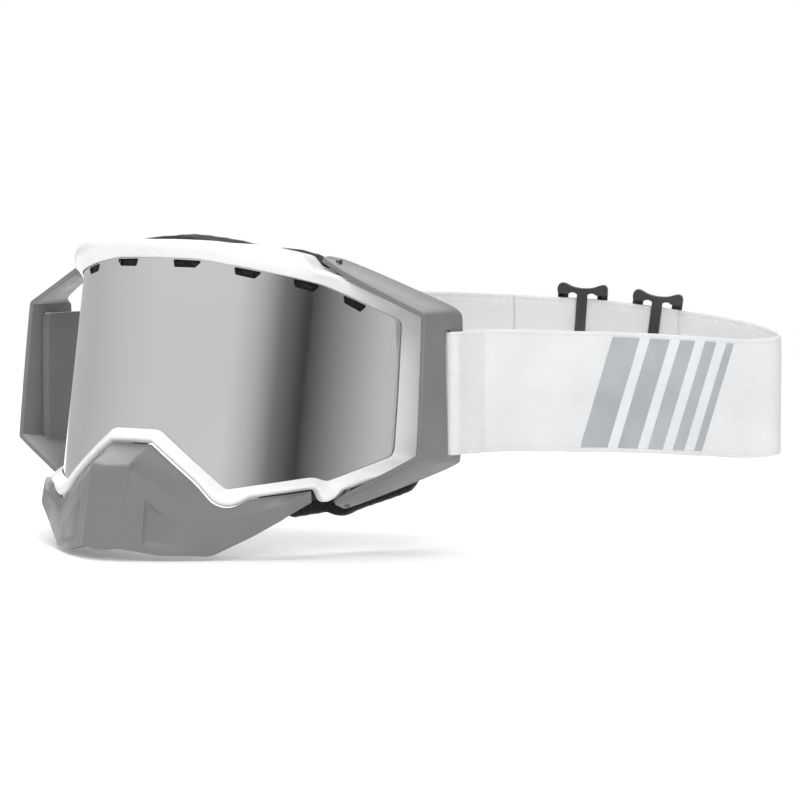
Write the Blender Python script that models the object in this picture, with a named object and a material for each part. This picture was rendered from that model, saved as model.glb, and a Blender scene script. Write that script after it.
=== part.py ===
"""Motocross goggles with outriggers, nose guard and adjustable strap.

Lengths are in millimetres and become metres where a mesh is made. The front of the
goggles faces -Y, +X is the wearer's left and +Z is up. The origin is the centre of the
face opening. The frame, lens and foam follow one curved lens surface: s runs across it,
v runs up it, d stands out from its front and b goes back from it towards the face.
"""
import bpy
import bmesh
from math import ceil, cos, exp, pi, radians, sin, tan
from mathutils import Matrix, Vector

MM = 0.001
GAP = 0.4                       # clearance between neighbouring pieces

# The lens surface: three tangent arcs seen from above, then leaned back
NOSE_RADIUS = 70.0
NOSE_ARC_END = 43.0
CHEEK_RADIUS = 38.0
CHEEK_ARC_END = 61.0
TEMPLE_RADIUS = 270.0
LENS_LEAN = radians(10.2)
FACE_CENTRE = Vector((0.0, 30.0, -45.0))    # seen from the lens's top centre
DEPTH_TURN = 0.35               # how far the frame's walls turn inwards at the temples

# Right half of the lens opening as (s, v, corner radius), from the top centre down
OPENING_HALF = (
    (19.0, 0.8, 60.0), (44.0, -1.8, 60.0), (66.0, -3.8, 40.0), (100.6, -12.0, 4.0),
    (102.1, -37.4, 60.0), (103.1, -61.3, 5.0), (74.8, -74.3, 5.0), (68.9, -73.4, 10.0),
    (37.0, -81.5, 3.0), (10.3, -62.0, 5.0),
)
STATION_PITCH = 6.0             # spacing of the stations along an outline
ARC_PITCH = radians(24)

# Frame shell
LIP_HEIGHT = 4.0
LIP_RISE = 4.5                  # how much prouder the border stands at the temples
SHELL_WALL = 1.8
SHELL_DEPTH = 8.0
FACE_FRAME_DEPTH = 10.6

# Lens
LENS_THICKNESS = 1.0
LENS_REBATE = 1.5               # how far the lens runs in under the lip
LENS_VENTS = ((7.9, 19.7), (31.6, 42.1), (53.5, 64.3), (74.1, 84.6))
VENT_HEIGHT = 2.8
VENT_SLANT = 2.6

# Face foam
FOAM_DEPTH_FRONT = 24.0
FOAM_DEPTH_TEMPLE = 17.5
FOAM_LAYERS = (("foam_base", 0.0, 0.3), ("foam_middle", 0.3, 0.76), ("foam_face", 0.76, 1.0))
FOAM_WIDTH = 6.1
FOAM_BROW = 1.5                 # extra height over the nose and over each brow
CHEEK_FLARE = 10.0

# Outrigger bracket, wearer's left: front and rear edge of its outer face, top to bottom
BRACKET_EDGES = (
    ((52.6, 31.5, 0.9), (50.2, 39.0, 1.0)),
    ((60.5, 31.8, -4.2), (54.5, 44.5, -0.2)),
    ((85.0, 38.2, -16.3), (88.0, 58.0, -15.6)),
    ((90.9, 39.9, -18.9), (91.4, 62.6, -18.6)),
    ((91.3, 39.6, -20.6), (91.7, 64.4, -22.2)),
    ((92.7, 34.5, -69.6), (91.9, 63.2, -72.4)),
    ((92.1, 34.1, -71.4), (91.0, 61.0, -75.2)),
    ((64.5, 27.0, -86.0), (64.8, 39.4, -88.4)),
    ((61.0, 26.5, -88.2), (57.6, 37.8, -90.8)),
)
BRACKET_THICKNESS = 2.0
SLOT_CENTRE = (92.0, 54.9, -48.4)
SLOT_SIZE = (12.0, 5.0, 46.0)
SLOT_LEAN = radians(2.6)
PIVOT_TOP = Vector((55.9, 36.8, -5.0))
PIVOT_BOTTOM = Vector((60.6, 34.4, -86.0))
PIN_RADIUS = 1.2
PIN_HOLE_RADIUS = 1.6
COVER_SECTION = (               # plate over the folded strap end, seen from above
    (86.1, 45.0), (86.1, 66.8), (87.3, 66.8), (87.3, 47.0), (89.0, 47.0), (89.0, 45.0),
)
COVER_SPAN = (-71.8, -23.6)

# Nose guard: s of its top edge on the frame, then its points down to its lower edge
GUARD_COLUMNS = (
    (0.0, (0.0, -28.4, -73.6), (0.0, -31.6, -88.0), (0.0, -34.6, -102.6)),
    (9.0, (7.4, -27.4, -73.0), (7.3, -30.4, -88.0), (7.2, -33.4, -101.8)),
    (22.0, (19.0, -21.6, -81.5), (20.0, -23.8, -93.0), (21.0, -25.2, -104.4)),
    (36.0, (34.6, -12.6, -93.0), (34.8, -13.2, -98.6), (35.0, -13.6, -105.0)),
    (49.0, (46.4, -3.2, -89.4), (46.5, -3.6, -93.6), (46.6, -3.9, -97.9)),
    (60.0, (55.4, 3.8, -86.2), (55.6, 3.2, -88.8), (55.8, 2.8, -91.4)),
    (67.5, (60.6, 11.6, -83.0), (61.0, 11.4, -84.4), (61.4, 11.2, -86.0)),
)
GUARD_THICKNESS = 2.0
GUARD_SEAT = 1.0                # clearance between the guard and the frame's border

# Strap
STRAP_WIDTH = 45.0
WEB_THICKNESS = 1.2
LAYER_PITCH = WEB_THICKNESS + GAP
STRAP_ROUTE = (
    (93.6, 73.4, -48.4), (106.0, 94.0, -49.0), (124.0, 121.0, -50.5), (143.0, 147.0, -52.6),
    (155.0, 163.6, -54.0), (160.8, 174.0, -53.4), (156.0, 180.4, -51.6), (140.0, 177.0, -47.2),
    (112.0, 162.4, -42.6), (88.0, 150.0, -39.8), (38.0, 124.0, -37.4), (-14.0, 114.0, -38.6),
    (-58.0, 105.0, -43.0), (-84.0, 91.0, -47.0), (-92.6, 73.4, -48.4),
)
SAMPLES_PER_SPAN = 6
LOOP_OVERLAP = 20.0             # length of strap end sewn onto the main band
SLIDER_STATIONS = {"strap_slider_front": 0.643, "strap_slider_rear": 0.571}
SLIDER_LENGTH = 19.0
SLIDER_BAR = 4.0
SLIDER_BAR_DEPTH = 1.6
SLIDER_END_HEIGHT = 4.2
SLIDER_PLAY = 1.3

COLOURS = {                     # base colour, roughness
    "white_frame": ((0.86, 0.87, 0.88), 0.32),
    "grey_plastic": ((0.28, 0.28, 0.27), 0.42),
    "pale_rubber": ((0.62, 0.63, 0.63), 0.55),
    "mirror_lens": ((0.62, 0.62, 0.62), 0.06),
    "black_foam": ((0.02, 0.02, 0.022), 0.95),
    "white_webbing": ((0.85, 0.85, 0.85), 0.85),
    "black_plastic": ((0.02, 0.02, 0.02), 0.40),
    "pin_steel": ((0.55, 0.55, 0.56), 0.25),
}
METALS = {"pin_steel": 1.0, "mirror_lens": 0.9}


def clear_scene():
    for obj in list(bpy.data.objects):
        bpy.data.objects.remove(obj)


def material(name):
    found = bpy.data.materials.get(name)
    if found:
        return found
    colour, roughness = COLOURS[name]
    made = bpy.data.materials.new(name)
    made.use_nodes = True
    shader = made.node_tree.nodes["Principled BSDF"]
    shader.inputs["Base Color"].default_value = (*colour, 1.0)
    shader.inputs["Roughness"].default_value = roughness
    shader.inputs["Metallic"].default_value = METALS.get(name, 0.0)
    made.diffuse_color = (*colour, 1.0)
    return made


def add_object(name, vertices, faces, finish, origin=Vector()):
    """Make an object from points in millimetres, with its origin at the given point."""
    mesh = bpy.data.meshes.new(name)
    mesh.from_pydata([(Vector(point) - origin) * MM for point in vertices], [], faces)
    work = bmesh.new()
    work.from_mesh(mesh)
    bmesh.ops.recalc_face_normals(work, faces=work.faces)
    work.to_mesh(mesh)
    work.free()
    if finish:
        mesh.materials.append(material(finish))
        mesh.shade_smooth()
        mesh.set_sharp_from_angle(angle=radians(35))
    made = bpy.data.objects.new(name, mesh)
    made.location = (origin - FACE_CENTRE) * MM
    bpy.context.scene.collection.objects.link(made)
    return made


def cut(target, cutter):
    """Cut one object with another, which stays as a hidden guide."""
    cutter.hide_render = True
    cutter.display_type = "WIRE"
    boolean = target.modifiers.new(cutter.name, "BOOLEAN")
    boolean.operation = "DIFFERENCE"
    boolean.object = cutter


def box_points(centre, size, turn=Matrix.Identity(3)):
    half = Vector(size) / 2
    signs = [(x, y, z) for x in (-1, 1) for y in (-1, 1) for z in (-1, 1)]
    return [Vector(centre) + turn @ Vector((x * half.x, y * half.y, z * half.z))
            for x, y, z in signs]


BOX_FACES = ((0, 1, 3, 2), (4, 6, 7, 5), (0, 4, 5, 1), (2, 3, 7, 6), (0, 2, 6, 4), (1, 5, 7, 3))


# ---- the lens surface -------------------------------------------------------------

def profile(s):
    """Point and heading of the lens seen from above, at s along it from the centre."""
    side = -1.0 if s < 0 else 1.0
    left = abs(s)
    x = y = heading = 0.0
    arcs = ((NOSE_ARC_END, NOSE_RADIUS), (CHEEK_ARC_END - NOSE_ARC_END, CHEEK_RADIUS),
            (left, TEMPLE_RADIUS))
    for length, radius in arcs:
        step = min(left, length)
        turned = heading + step / radius
        x += radius * (sin(turned) - sin(heading))
        y += radius * (cos(heading) - cos(turned))
        heading = turned
        left -= step
    return side * x, y, side * heading


def surface(s, v, d=0.0, b=0.0):
    """Point in space at s, v on the lens, standing d out from it and b back from it."""
    x, y, heading = profile(s)
    x += d * sin(heading)
    y -= d * cos(heading)
    point = Vector((x, y * cos(LENS_LEAN) + v * sin(LENS_LEAN),
                    v * cos(LENS_LEAN) - y * sin(LENS_LEAN)))
    back = Vector((-DEPTH_TURN * sin(heading), 1 + DEPTH_TURN * cos(heading), 0.0))
    return point + b * back.normalized()


def rounded_outline(half):
    """Closed outline from the corners of its right half, with each corner an arc."""
    corners = list(half) + [(-s, v, radius) for s, v, radius in reversed(half)]
    count = len(corners)
    points = []
    for index, (s, v, radius) in enumerate(corners):
        here = Vector((s, v))
        before = Vector(corners[index - 1][:2]) - here
        after = Vector(corners[(index + 1) % count][:2]) - here
        turn = pi - before.angle(after)
        reach = min(radius * tan(turn / 2), 0.45 * before.length, 0.45 * after.length)
        start = here + before.normalized() * reach
        end = here + after.normalized() * reach
        pieces = max(2, ceil(turn / ARC_PITCH))
        for step in range(pieces + 1):
            t = step / pieces
            points.append(start * (1 - t) ** 2 + here * 2 * t * (1 - t) + end * t ** 2)
    return spaced(points)


def spaced(points):
    """Add points so that no run along the closed outline is longer than the pitch."""
    result = []
    for index, point in enumerate(points):
        after = points[(index + 1) % len(points)]
        pieces = max(1, ceil((after - point).length / STATION_PITCH))
        result += [point.lerp(after, step / pieces) for step in range(pieces)]
    return result


def outward(outline):
    """Outward direction at each point of a clockwise outline."""
    directions = []
    for index, point in enumerate(outline):
        before = (point - outline[index - 1]).normalized()
        after = (outline[(index + 1) % len(outline)] - point).normalized()
        along = (before + after).normalized()
        stretch = 1 / max(0.75, before.dot(along))
        directions.append(Vector((-along.y, along.x)) * stretch)
    return directions


def ring(name, outline, section, finish):
    """Closed ring: section(s, v, n) gives its (w, d, b) points at each station."""
    vertices = []
    for point, normal in zip(outline, outward(outline)):
        for w, d, b in section(point, normal):
            vertices.append(surface(point.x + normal.x * w, point.y + normal.y * w, d, b))
    stations = len(outline)
    around = len(vertices) // stations
    faces = []
    for i in range(stations):
        for j in range(around):
            j_next = (j + 1) % around
            i_next = (i + 1) % stations
            faces.append((i * around + j, i_next * around + j,
                          i_next * around + j_next, i * around + j_next))
    return add_object(name, vertices, faces, finish)


# ---- frame ------------------------------------------------------------------------

def bump(value, centre, reach):
    return exp(-((value - centre) / reach) ** 2)


def ramp(value, start, end):
    """0 below start, 1 above end, and a straight rise between them."""
    return min(1, max(0, (value - start) / (end - start)))


def lip_width(point, normal):
    """Width of the frame's front border at a station of the opening."""
    s = abs(point.x)
    if normal.y > 0.4:
        under_bracket = ramp(s, 55, 61)
        return 6.3 + 1.9 * ramp(s, 20, 40) - 3.1 * under_bracket
    if normal.y > -0.4 and s > 90:
        return 5.1 + 2.1 * ramp(-point.y, 14, 26)
    if s < 42:
        return 4.9 + 1.2 * bump(s, 37, 5)
    pillar = 3.6 * bump(s, 73.5, 3.0)
    return 4.0 + pillar + 1.0 * ramp(s, 76, 82) + 2.2 * ramp(s, 97, 104)


def shell_section(point, normal):
    w = lip_width(point, normal)
    crown = min(2.2, w / 3)
    rise = ramp(abs(point.x), 84, 100)
    height = LIP_HEIGHT + LIP_RISE * rise
    crest = crown + (w - 2 * crown - 0.2) * rise
    return ((-0.2, 0.4, 0), (0.2, 2.6 - rise, 0), (crest, height, 0), (w - crown, height, 0),
            (w - 0.5, 2.8, 0), (w, 0.8, 0), (w, 0, SHELL_DEPTH),
            (w - SHELL_WALL, 0, SHELL_DEPTH), (w - SHELL_WALL, 0.4, 0))


def face_frame_section(point, normal):
    w = lip_width(point, normal)
    wall = w - SHELL_WALL - 1.5 * GAP
    lap = min(0.4, wall - 0.6)
    rim = SHELL_DEPTH + GAP
    return ((lap, 0, 2.4), (wall, 0, 2.4), (wall, 0, rim), (w, 0, rim),
            (w, 0, FACE_FRAME_DEPTH), (wall - 1.8, 0, FACE_FRAME_DEPTH),
            (wall - 1.8, 0, 4.2), (wall - 2.4, 0, 4.0))


def along_axis(z):
    """Point on the outrigger's pivot axis at height z."""
    return PIVOT_TOP.lerp(PIVOT_BOTTOM, (z - PIVOT_TOP.z) / (PIVOT_BOTTOM.z - PIVOT_TOP.z))


def mirrored(point, side):
    return Vector((point.x * side, point.y, point.z))


def cylinder(name, start, end, radius, finish, sides=16):
    axis = (end - start).normalized()
    across = axis.orthogonal().normalized()
    other = axis.cross(across)
    vertices = []
    for centre in (start, end):
        for step in range(sides):
            angle = 2 * pi * step / sides
            vertices.append(centre + radius * (across * cos(angle) + other * sin(angle)))
    faces = [tuple(range(sides)), tuple(range(2 * sides - 1, sides - 1, -1))]
    faces += [(i, (i + 1) % sides, (i + 1) % sides + sides, i + sides) for i in range(sides)]
    return add_object(name, vertices, faces, finish)


def frame(outline):
    shell = ring("frame_shell", outline, shell_section, "white_frame")
    ring("face_frame", outline, face_frame_section, "pale_rubber")
    for label, side in (("left", 1), ("right", -1)):
        for end, low, high in (("top", -9.5, 3.0), ("bottom", -95.0, -79.5)):
            hole = cylinder(f"hole_{label}_{end}", mirrored(along_axis(low), side),
                            mirrored(along_axis(high), side), PIN_HOLE_RADIUS, None)
            cut(shell, hole)


# ---- lens -------------------------------------------------------------------------

def plate(name, outline, low, high):
    """Flat plate in the lens's own s, v, d space, from d = low to d = high."""
    count = len(outline)
    vertices = [(p.x, p.y, level) for level in (low, high) for p in outline]
    faces = [tuple(range(count)), tuple(range(2 * count - 1, count - 1, -1))]
    faces += [(i, (i + 1) % count, (i + 1) % count + count, i + count) for i in range(count)]
    return add_object(name, vertices, faces, None)


def wrap(flat, name, finish):
    """Slice a flat plate into strips, bend it round the lens surface and drop the plate."""
    evaluated = flat.evaluated_get(bpy.context.evaluated_depsgraph_get())
    work = bmesh.new()
    work.from_mesh(evaluated.to_mesh())
    reach = max(abs(vert.co.x) for vert in work.verts) / MM
    cuts = int(reach // STATION_PITCH)
    for step in range(-cuts, cuts + 1):
        geometry = work.verts[:] + work.edges[:] + work.faces[:]
        bmesh.ops.bisect_plane(work, geom=geometry, dist=1e-7, plane_no=(1, 0, 0),
                               plane_co=(step * STATION_PITCH * MM, 0, 0))
    bmesh.ops.triangulate(work, faces=work.faces)
    work.verts.index_update()
    vertices = [surface(*(vert.co / MM)) for vert in work.verts]
    faces = [[vert.index for vert in face.verts] for face in work.faces]
    work.free()
    for guide in [modifier.object for modifier in flat.modifiers] + [flat]:
        bpy.data.objects.remove(guide)
    return add_object(name, vertices, faces, finish)


def opening_top(s):
    """Height of the opening's top edge at s."""
    corners = [(0.0, 0.8)] + [corner[:2] for corner in OPENING_HALF[:4]]
    for (s0, v0), (s1, v1) in zip(corners, corners[1:]):
        if abs(s) <= s1:
            return v0 + (v1 - v0) * (abs(s) - s0) / (s1 - s0)
    return corners[-1][1]


def grown_outline(outline, w):
    return [point + normal * w for point, normal in zip(outline, outward(outline))]


def lens(outline):
    flat = plate("lens_flat", grown_outline(outline, LENS_REBATE), -0.1 - LENS_THICKNESS, -0.1)
    for index, (near, far) in enumerate(LENS_VENTS):
        for side in (1, -1):
            corners = ((near, opening_top(near) - 0.6), (far, opening_top(far) - 0.6),
                       (far - VENT_SLANT, opening_top(far) - VENT_HEIGHT - 0.4),
                       (near + 0.8, opening_top(near) - VENT_HEIGHT - 0.6))
            corners = [Vector((side * s, v)) for s, v in corners]
            cut(flat, plate(f"vent_{index}_{side}", corners, -4.0, 3.0))
    wrap(flat, "lens", "mirror_lens")


def vent_foam():
    """Strip of open foam behind the slots along the lens's top edge."""
    stations = [6.0 * step for step in range(-15, 16)]
    upper = [Vector((s, opening_top(s) + 0.1)) for s in stations]
    lower = [Vector((s, opening_top(s) - VENT_HEIGHT - 1.6)) for s in reversed(stations)]
    wrap(plate("vent_foam_flat", upper + lower, -4.6, -1.5), "vent_foam", "black_foam")


# ---- face foam --------------------------------------------------------------------

def foam_width(point, normal):
    """Foam's outer width, and how much wider it grows under the cheeks."""
    s = abs(point.x)
    cheek = max(0, -normal.y) * ramp(s, 38, 52)
    brow = max(0, normal.y) * (bump(s, 0, 16) + ramp(s, 32, 46) - ramp(s, 52, 62))
    lower = 4.0 + 1.0 * ramp(s, 76, 100)
    width = FOAM_WIDTH if normal.y > -0.4 else lower
    return min(width, 5.1 if s > 90 else width) + FOAM_BROW * brow, CHEEK_FLARE * cheek


def foam_total(point):
    """Depth of the foam's face side behind the lens surface."""
    across = min(1, abs(point.x) / 105)
    return FOAM_DEPTH_FRONT + (FOAM_DEPTH_TEMPLE - FOAM_DEPTH_FRONT) * across ** 2


def foam(outline):
    """Three bonded layers, each with its share of the foam's depth."""
    for name, front, back in FOAM_LAYERS:
        def section(point, normal, front=front, back=back):
            start = FACE_FRAME_DEPTH + GAP
            near = start + (foam_total(point) - start) * front
            far = start + (foam_total(point) - start) * back - GAP
            w, flare = foam_width(point, normal)
            return ((-1.0, 0, near), (w + flare * min(1, 0.2 + front), 0, near),
                    (w + flare * min(1, 0.2 + back), 0, far), (-1.0, 0, far))
        ring(name, outline, section, "black_foam")


# ---- outriggers -------------------------------------------------------------------

def outrigger(label, side):
    """C-shaped bracket with its origin on the pivot axis."""
    outer = [(Vector(front), Vector(rear)) for front, rear in BRACKET_EDGES]
    vertices = []
    for index, (front, rear) in enumerate(outer):
        before = outer[max(0, index - 1)]
        after = outer[min(len(outer) - 1, index + 1)]
        along = (after[0] + after[1] - before[0] - before[1]).normalized()
        inward = (rear - front).cross(along).normalized()
        step = inward * BRACKET_THICKNESS
        vertices += [mirrored(p, side) for p in (front, rear, rear + step, front + step)]
    last = len(vertices) - 4
    faces = [(0, 1, 2, 3), (last, last + 3, last + 2, last + 1)]
    for i in range(len(outer) - 1):
        for j in range(4):
            k = (j + 1) % 4
            faces.append((4 * i + j, 4 * i + 4 + j, 4 * i + 4 + k, 4 * i + k))
    made = add_object(f"outrigger_{label}", vertices, faces, "grey_plastic",
                      mirrored(along_axis(-45.0), side))
    turn = Matrix.Rotation(SLOT_LEAN, 3, "X")
    centre = mirrored(Vector(SLOT_CENTRE), side)
    cut(made, add_object(f"slot_{label}", box_points(centre, SLOT_SIZE, turn), BOX_FACES, None))
    for end, low, high in (("top", -9.5, 6.0), ("bottom", -96.0, -80.0)):
        hole = cylinder(f"pivot_hole_{label}_{end}", mirrored(along_axis(low), side),
                        mirrored(along_axis(high), side), PIN_RADIUS + 0.3, None)
        cut(made, hole)


def pivot_pins():
    for label, side in (("left", 1), ("right", -1)):
        for end, low, high in (("top", -7.0, -0.1), ("bottom", -89.6, -82.6)):
            cylinder(f"pivot_pin_{label}_{end}", mirrored(along_axis(low), side),
                     mirrored(along_axis(high), side), PIN_RADIUS, "pin_steel")


def strap_cover(label, side):
    """Plate that closes the bracket's inner side over the folded strap end."""
    count = len(COVER_SECTION)
    vertices = [(side * x, y, z) for z in COVER_SPAN for x, y in COVER_SECTION]
    faces = [tuple(range(count)), tuple(range(2 * count - 1, count - 1, -1))]
    faces += [(i, (i + 1) % count, (i + 1) % count + count, i + count) for i in range(count)]
    add_object(f"strap_cover_{label}", vertices, faces, "grey_plastic",
               mirrored(along_axis(-45.0), side))


# ---- nose guard -------------------------------------------------------------------

def guard_seat(outline, s):
    """Point just outside the frame's lower border at s."""
    edge = []
    for point, normal in zip(outline, outward(outline)):
        if normal.y < 0:
            edge.append(point + normal * (lip_width(point, normal) + GUARD_SEAT))
    edge.sort(key=lambda place: place.x)
    for before, after in zip(edge, edge[1:]):
        if before.x <= s <= after.x:
            place = before.lerp(after, (s - before.x) / (after.x - before.x))
            return surface(place.x, place.y, 2.4)


def nose_guard(outline):
    half = [[guard_seat(outline, column[0])] + [Vector(point) for point in column[1:]]
            for column in GUARD_COLUMNS]
    columns = [[mirrored(p, -1) for p in column] for column in reversed(half[1:])] + half
    rows = len(columns[0])
    vertices = [point for column in columns for point in column]
    faces = []
    for i in range(len(columns) - 1):
        for j in range(rows - 1):
            a = i * rows + j
            faces.append((a, a + 1, a + rows + 1, a + rows))
    made = add_object("nose_guard", vertices, faces, "grey_plastic")
    thick = made.modifiers.new("thickness", "SOLIDIFY")
    thick.thickness = GUARD_THICKNESS * MM
    thick.offset = -1.0
    thick.use_even_offset = True


# ---- strap ------------------------------------------------------------------------

def smooth_route(points, samples):
    """Points of a Catmull-Rom curve through the given points."""
    route = [Vector(point) for point in points]
    ends = [2 * route[0] - route[1]] + route + [2 * route[-1] - route[-2]]
    curve = []
    for p0, p1, p2, p3 in zip(ends, ends[1:], ends[2:], ends[3:]):
        for step in range(samples):
            t = step / samples
            curve.append(0.5 * (2 * p1 + (p2 - p0) * t + (2 * p0 - 5 * p1 + 4 * p2 - p3) * t * t
                                + (3 * p1 - p0 - 3 * p2 + p3) * t ** 3))
    return curve + [route[-1]]


def sideways(route):
    """Level direction square to the route at each of its points, on the outer side."""
    result = []
    for index in range(len(route)):
        along = route[min(len(route) - 1, index + 1)] - route[max(0, index - 1)]
        result.append(Vector((along.y, -along.x, 0)).normalized())
    return result


def shifted(route, distance):
    return [point + normal * distance for point, normal in zip(route, sideways(route))]


def ribbon(name, route, finish, origin=Vector()):
    """Flat webbing standing on edge along a route."""
    vertices = []
    up = Vector((0, 0, STRAP_WIDTH / 2))
    for point, normal in zip(route, sideways(route)):
        step = normal * WEB_THICKNESS / 2
        vertices += [point - step - up, point + step - up, point + step + up, point - step + up]
    last = len(vertices) - 4
    faces = [(0, 1, 2, 3), (last, last + 3, last + 2, last + 1)]
    for i in range(len(route) - 1):
        for j in range(4):
            k = (j + 1) % 4
            faces.append((4 * i + j, 4 * i + 4 + j, 4 * i + 4 + k, 4 * i + k))
    return add_object(name, vertices, faces, finish, origin)


def strap_loop(label, side, outer):
    """Strap end folded round the bracket's rear bar; its outer leg lies on the main band."""
    start = [Vector((side * x, y, outer[0].z)) for x, y in (
        (89.8, 69.0), (88.6, 66.4), (88.3, 61.0), (88.4, 57.4), (89.3, 55.6), (90.9, 55.0),
        (92.6, 55.6), (93.5, 57.6), (93.5, 63.0), (93.9, 66.6))]
    leg = []
    length = 0.0
    for before, point in zip(outer, outer[1:]):
        leg.append(before)
        length += (point - before).length
        if length > LOOP_OVERLAP:
            break
    ribbon(f"strap_loop_{label}", start + leg, "white_webbing", mirrored(along_axis(-45.0), side))


def slider(name, route):
    """Three-bar slider: its middle bar on the inner face, its outer bars behind."""
    index = round(SLIDER_STATIONS[name] * (len(route) - 1))
    place = route[index]
    tangent = (route[index + 1] - route[index - 1]).normalized()
    normal = Vector((tangent.y, -tangent.x, 0)).normalized()
    up = normal.cross(tangent)
    if up.z < 0:
        up = -up
    turn = Matrix((tangent, normal, up)).transposed()
    inner = -(WEB_THICKNESS / 2 + LAYER_PITCH + GAP)
    outer = WEB_THICKNESS / 2 + GAP
    tall = STRAP_WIDTH + 2 * SLIDER_PLAY
    depth = outer - inner + 2 * SLIDER_BAR_DEPTH
    middle = (outer + inner) / 2
    end_z = (tall + SLIDER_END_HEIGHT) / 2
    reach = tall + SLIDER_END_HEIGHT
    side_x = (SLIDER_LENGTH - SLIDER_BAR) / 2
    parts = [
        ((0, middle, end_z), (SLIDER_LENGTH, depth, SLIDER_END_HEIGHT)),
        ((0, middle, -end_z), (SLIDER_LENGTH, depth, SLIDER_END_HEIGHT)),
        ((0, inner - SLIDER_BAR_DEPTH / 2, 0), (SLIDER_BAR, SLIDER_BAR_DEPTH, reach)),
        ((side_x, outer + SLIDER_BAR_DEPTH / 2, 0), (SLIDER_BAR, SLIDER_BAR_DEPTH, reach)),
        ((-side_x, outer + SLIDER_BAR_DEPTH / 2, 0), (SLIDER_BAR, SLIDER_BAR_DEPTH, reach)),
    ]
    bodies = [add_object(f"{name}_{i}" if i else name,
                         [turn @ p + place for p in box_points(c, size)], BOX_FACES,
                         "black_plastic" if i == 0 else None, place)
              for i, (c, size) in enumerate(parts)]
    for piece in bodies[1:]:
        piece.hide_render = True
        piece.display_type = "WIRE"
        join = bodies[0].modifiers.new(piece.name, "BOOLEAN")
        join.operation = "UNION"
        join.object = piece


def strap():
    route = smooth_route(STRAP_ROUTE, SAMPLES_PER_SPAN)
    ribbon("strap_band", route, "white_webbing")
    outer = shifted(route, LAYER_PITCH)
    strap_loop("left", 1, outer)
    strap_loop("right", -1, outer[::-1])
    for name in SLIDER_STATIONS:
        slider(name, route)
    stations = [round(share * (len(route) - 1)) for share in SLIDER_STATIONS.values()]
    tail = shifted(route, -LAYER_PITCH)[min(stations) - 2:max(stations) + 3]
    ribbon("strap_tail", tail, "white_webbing")


clear_scene()
opening = rounded_outline(OPENING_HALF)
frame(opening)
lens(opening)
vent_foam()
foam(opening)
for hand, sign in (("left", 1), ("right", -1)):
    outrigger(hand, sign)
    strap_cover(hand, sign)
pivot_pins()
nose_guard(opening)
strap()
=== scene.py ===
"""Looks of the motocross goggles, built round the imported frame.

The shape functions work in millimetres and follow the same curved lens surface as the
CAD: s runs across it, v up it, d out from its front and b back towards the face. Pieces
become metres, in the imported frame's own axes, where their meshes are made.
"""
from math import ceil, cos, exp, pi, radians, sin, tan

import bmesh
import bpy
from mathutils import Matrix, Vector
from mathutils.geometry import delaunay_2d_cdt

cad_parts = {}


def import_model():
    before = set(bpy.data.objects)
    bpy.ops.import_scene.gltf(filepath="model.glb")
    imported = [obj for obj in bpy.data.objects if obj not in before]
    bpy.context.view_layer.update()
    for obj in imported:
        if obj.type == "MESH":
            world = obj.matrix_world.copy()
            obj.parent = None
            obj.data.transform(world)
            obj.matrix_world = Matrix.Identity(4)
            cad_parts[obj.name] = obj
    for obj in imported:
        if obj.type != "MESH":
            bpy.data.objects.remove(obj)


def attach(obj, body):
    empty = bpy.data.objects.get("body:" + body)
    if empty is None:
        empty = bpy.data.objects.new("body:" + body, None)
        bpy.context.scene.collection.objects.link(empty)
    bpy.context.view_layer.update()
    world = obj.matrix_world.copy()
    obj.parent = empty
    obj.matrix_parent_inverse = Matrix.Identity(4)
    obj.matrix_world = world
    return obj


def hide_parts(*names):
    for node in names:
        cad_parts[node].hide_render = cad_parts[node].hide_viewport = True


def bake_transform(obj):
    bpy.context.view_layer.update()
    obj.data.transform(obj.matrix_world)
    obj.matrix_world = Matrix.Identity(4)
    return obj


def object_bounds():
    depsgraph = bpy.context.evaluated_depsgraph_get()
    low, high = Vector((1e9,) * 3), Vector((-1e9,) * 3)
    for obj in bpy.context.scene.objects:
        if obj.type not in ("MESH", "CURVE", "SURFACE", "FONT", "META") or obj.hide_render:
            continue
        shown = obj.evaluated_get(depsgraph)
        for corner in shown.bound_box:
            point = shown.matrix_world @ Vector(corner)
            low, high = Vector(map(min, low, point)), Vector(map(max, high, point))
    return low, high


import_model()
CAD_LOW, CAD_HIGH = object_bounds()

MM = 0.001

# The lens surface: three tangent arcs seen from above, then leaned back
NOSE_RADIUS = 70.0
NOSE_ARC_END = 43.0
CHEEK_RADIUS = 38.0
CHEEK_ARC_END = 61.0
TEMPLE_RADIUS = 270.0
LENS_LEAN = radians(10.2)
FACE_CENTRE = Vector((0.0, 30.0, -45.0))
DEPTH_TURN = 0.35

# Right half of the lens opening as (s, v, corner radius), from the top centre down
OPENING_HALF = (
    (19.0, 0.8, 60.0), (44.0, -1.8, 60.0), (66.0, -3.8, 40.0), (100.6, -12.0, 4.0),
    (102.1, -37.4, 60.0), (103.1, -61.3, 5.0), (74.8, -74.3, 6.0), (68.9, -73.4, 10.0),
    (37.0, -81.5, 3.0), (10.3, -62.0, 6.5),
)
STATION_PITCH = 1.8
ARC_PITCH = radians(6)

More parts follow.
